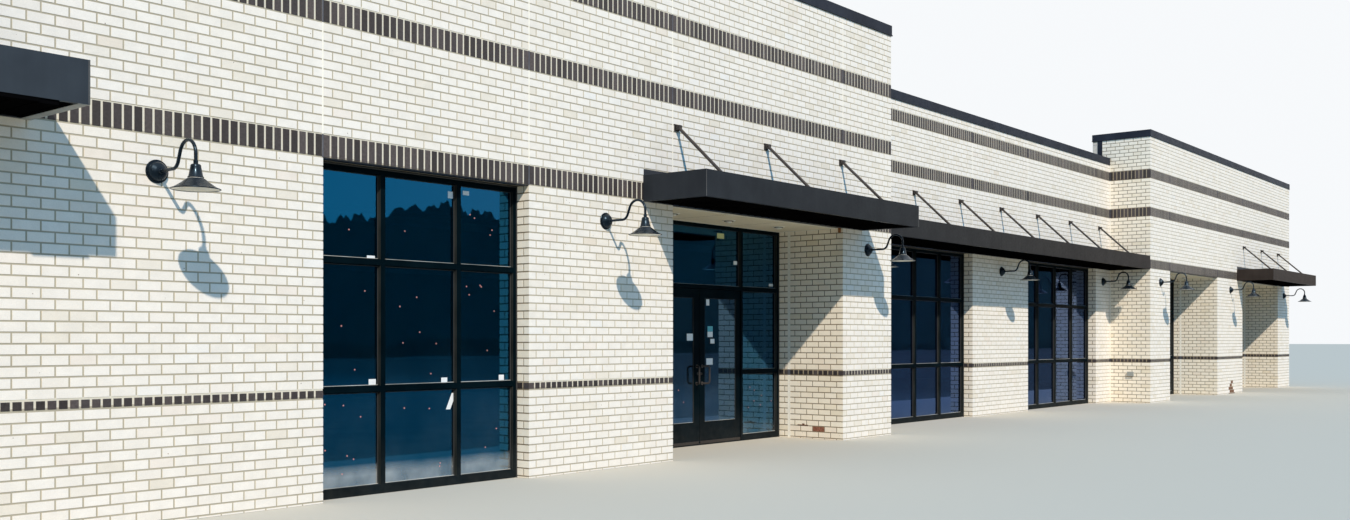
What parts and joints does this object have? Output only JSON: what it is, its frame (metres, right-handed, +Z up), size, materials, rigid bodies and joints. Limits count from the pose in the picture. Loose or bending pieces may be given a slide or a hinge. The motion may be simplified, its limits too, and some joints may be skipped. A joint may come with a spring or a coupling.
{
  "type": "corner shop building",
  "caption": "One-storey brick shop building with tall end blocks, recessed entries, flat hung canopies and gooseneck wall lamps.",
  "frame": {"origin": "on the ground, below the middle of the building's outline, with the canopies and copings in that outline", "axes": "+X along the front from the left end to the right end, +Y from the front into the building, +Z up"},
  "size_m": [41.7, 16.1764, 6.1494],
  "materials": {
    "brick": "cream brick with dark bands, matte",
    "glass": "dark tinted, polished",
    "frame_aluminium": "satin black",
    "pull_metal": "satin black",
    "lamp_enamel": "gloss black enamel, white inside the shade",
    "light_trim": "white trim ring",
    "ceiling_board": "painted board, matte",
    "coping_metal": "satin dark bronze",
    "canopy_metal": "satin charcoal",
    "lintel_steel": "satin paint",
    "concrete": "troweled, matte",
    "roof_membrane": "pale sheet, matte",
    "box_plastic": "matte"
  },
  "bodies": {
    "building": {"floor_slab": "concrete", "roof_deck": "roof_membrane", "front_roof_strips": "roof_membrane", "left_party_wall": "brick", "left_block_piers": "brick", "left_block_upper_wall": "brick", "middle_piers": "brick", "middle_upper_wall": "brick", "right_block_piers": "brick", "right_block_upper_wall": "brick", "block_return_walls": "brick", "right_end_wall": "brick", "rear_wall": "brick", "entry_side_walls": "brick", "entry_ceilings": "ceiling_board", "ceiling_downlights": "light_trim", "steel_lintels": "lintel_steel", "block_copings": "coping_metal", "middle_coping": "coping_metal", "rear_coping": "coping_metal", "shop_window_frame": "frame_aluminium", "shop_window_glass": "glass", "middle_window_frames": "frame_aluminium", "middle_window_glass": "glass", "side_entry_frames": "frame_aluminium", "side_entry_glass": "glass", "main_entry_posts": "frame_aluminium", "main_entry_rails": "frame_aluminium", "main_entry_glass": "glass", "door_hinges": "pull_metal", "canopy_front_channels": "canopy_metal", "canopy_side_channels": "canopy_metal", "canopy_decks": "canopy_metal", "canopy_ledgers": "canopy_metal", "canopy_tie_rods": "canopy_metal", "lamp_arms": "lamp_enamel", "lamp_shades": "lamp_enamel", "wall_box": "box_plastic"},
    "left_door": {"left_door_leaf": "frame_aluminium", "left_door_glass": "glass", "left_door_pull": "pull_metal"},
    "right_door": {"right_door_leaf": "frame_aluminium", "right_door_glass": "glass", "right_door_pull": "pull_metal"}
  },
  "joints": [
    {"name": "left_door_swing", "type": "hinge", "parent": "building", "child": "left_door", "pos_m": [-7.8304, -6.0916, 0], "axis": [0, 0, -1], "range_deg": [0, 90]},
    {"name": "right_door_swing", "type": "hinge", "parent": "building", "child": "right_door", "pos_m": [-5.9364, -6.0916, 0], "axis": [0, 0, 1], "range_deg": [0, 90]}
  ]
}
